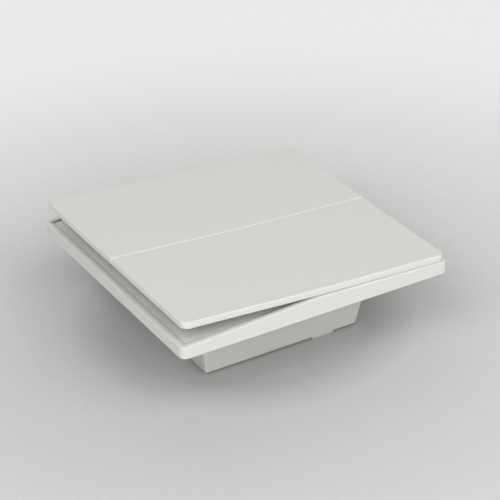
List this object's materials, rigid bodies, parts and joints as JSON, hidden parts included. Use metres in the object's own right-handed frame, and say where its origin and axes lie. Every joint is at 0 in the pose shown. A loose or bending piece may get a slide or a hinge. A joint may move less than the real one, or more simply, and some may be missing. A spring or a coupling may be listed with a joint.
{
  "type": "wireless wall switch",
  "caption": "Square wireless wall switch: wide see-saw keys side by side in a shallow roofed frame, tapered rear box, and a small generator under each key that powers its radio.",
  "frame": {"origin": "middle of the square plate, on the plane of the wall behind it", "axes": "+Z out of the wall towards the person who presses; +X the way the keys rock, towards the end that is pressed at rest; +Y along the pivot line, from the front key to the back key"},
  "size_m": [0.086, 0.086, 0.0326],
  "materials": {
    "frame_plastic": "fine satin texture",
    "key_plastic": "smooth satin",
    "carrier_plastic": "satin",
    "box_plastic": "fine matte texture",
    "lever_plastic": "satin",
    "generator_plastic": "glass-filled, dull",
    "bobbin_plastic": "natural",
    "copper_wire": "enamelled copper",
    "core_iron": "bare pressed sheet",
    "magnet_nickel": "nickel plated",
    "screw_steel": "zinc plated",
    "shield_metal": "tinned sheet",
    "terminal_metal": "tinned wire",
    "board_green": "solder resist",
    "component_black": "moulded",
    "capacitor_sleeve": "drawn can"
  },
  "bodies": {
    "housing": {"surface_frame": "frame_plastic", "carrier_plate": "carrier_plastic", "rear_box": "box_plastic", "box_screws": "screw_steel", "generator_screws": "screw_steel", "coil_terminals": "terminal_metal", "circuit_board": "board_green", "radio_shield": "shield_metal", "controller_chip": "component_black", "crystal": "shield_metal", "regulator": "component_black", "rectifier": "component_black", "storage_capacitors": "capacitor_sleeve", "antenna_wire": "terminal_metal", "front_generator_frame": "generator_plastic", "front_core": "core_iron", "front_bobbin": "bobbin_plastic", "front_winding": "copper_wire", "back_generator_frame": "generator_plastic", "back_core": "core_iron", "back_bobbin": "bobbin_plastic", "back_winding": "copper_wire"},
    "front_armature": {"front_armature_holder": "generator_plastic", "front_magnet": "magnet_nickel", "front_upper_pole": "core_iron", "front_lower_pole": "core_iron"},
    "front_key": {"front_key_cover": "key_plastic", "front_key_lever": "lever_plastic"},
    "back_armature": {"back_armature_holder": "generator_plastic", "back_magnet": "magnet_nickel", "back_upper_pole": "core_iron", "back_lower_pole": "core_iron"},
    "back_key": {"back_key_cover": "key_plastic", "back_key_lever": "lever_plastic"}
  },
  "joints": [
    {"name": "front_key_rock", "type": "hinge", "parent": "housing", "child": "front_key", "pos_m": [0, 0, 0.0017], "axis": [0, -1, 0], "range_deg": [0, 6.7]},
    {"name": "front_armature_swing", "type": "hinge", "parent": "housing", "child": "front_armature", "pos_m": [0, -0.0127, -0.00697], "axis": [0, -1, 0], "range_deg": [-8.4, 0.3]},
    {"name": "back_key_rock", "type": "hinge", "parent": "housing", "child": "back_key", "pos_m": [0, 0, 0.0017], "axis": [0, -1, 0], "range_deg": [0, 6.7]},
    {"name": "back_armature_swing", "type": "hinge", "parent": "housing", "child": "back_armature", "pos_m": [0, 0.0127, -0.00697], "axis": [0, -1, 0], "range_deg": [-8.4, 0.3]}
  ],
  "couplings": [
    {"joint": "front_armature_swing", "follows": "front_key_rock", "ratio": -1.2},
    {"joint": "back_armature_swing", "follows": "back_key_rock", "ratio": -1.2}
  ]
}
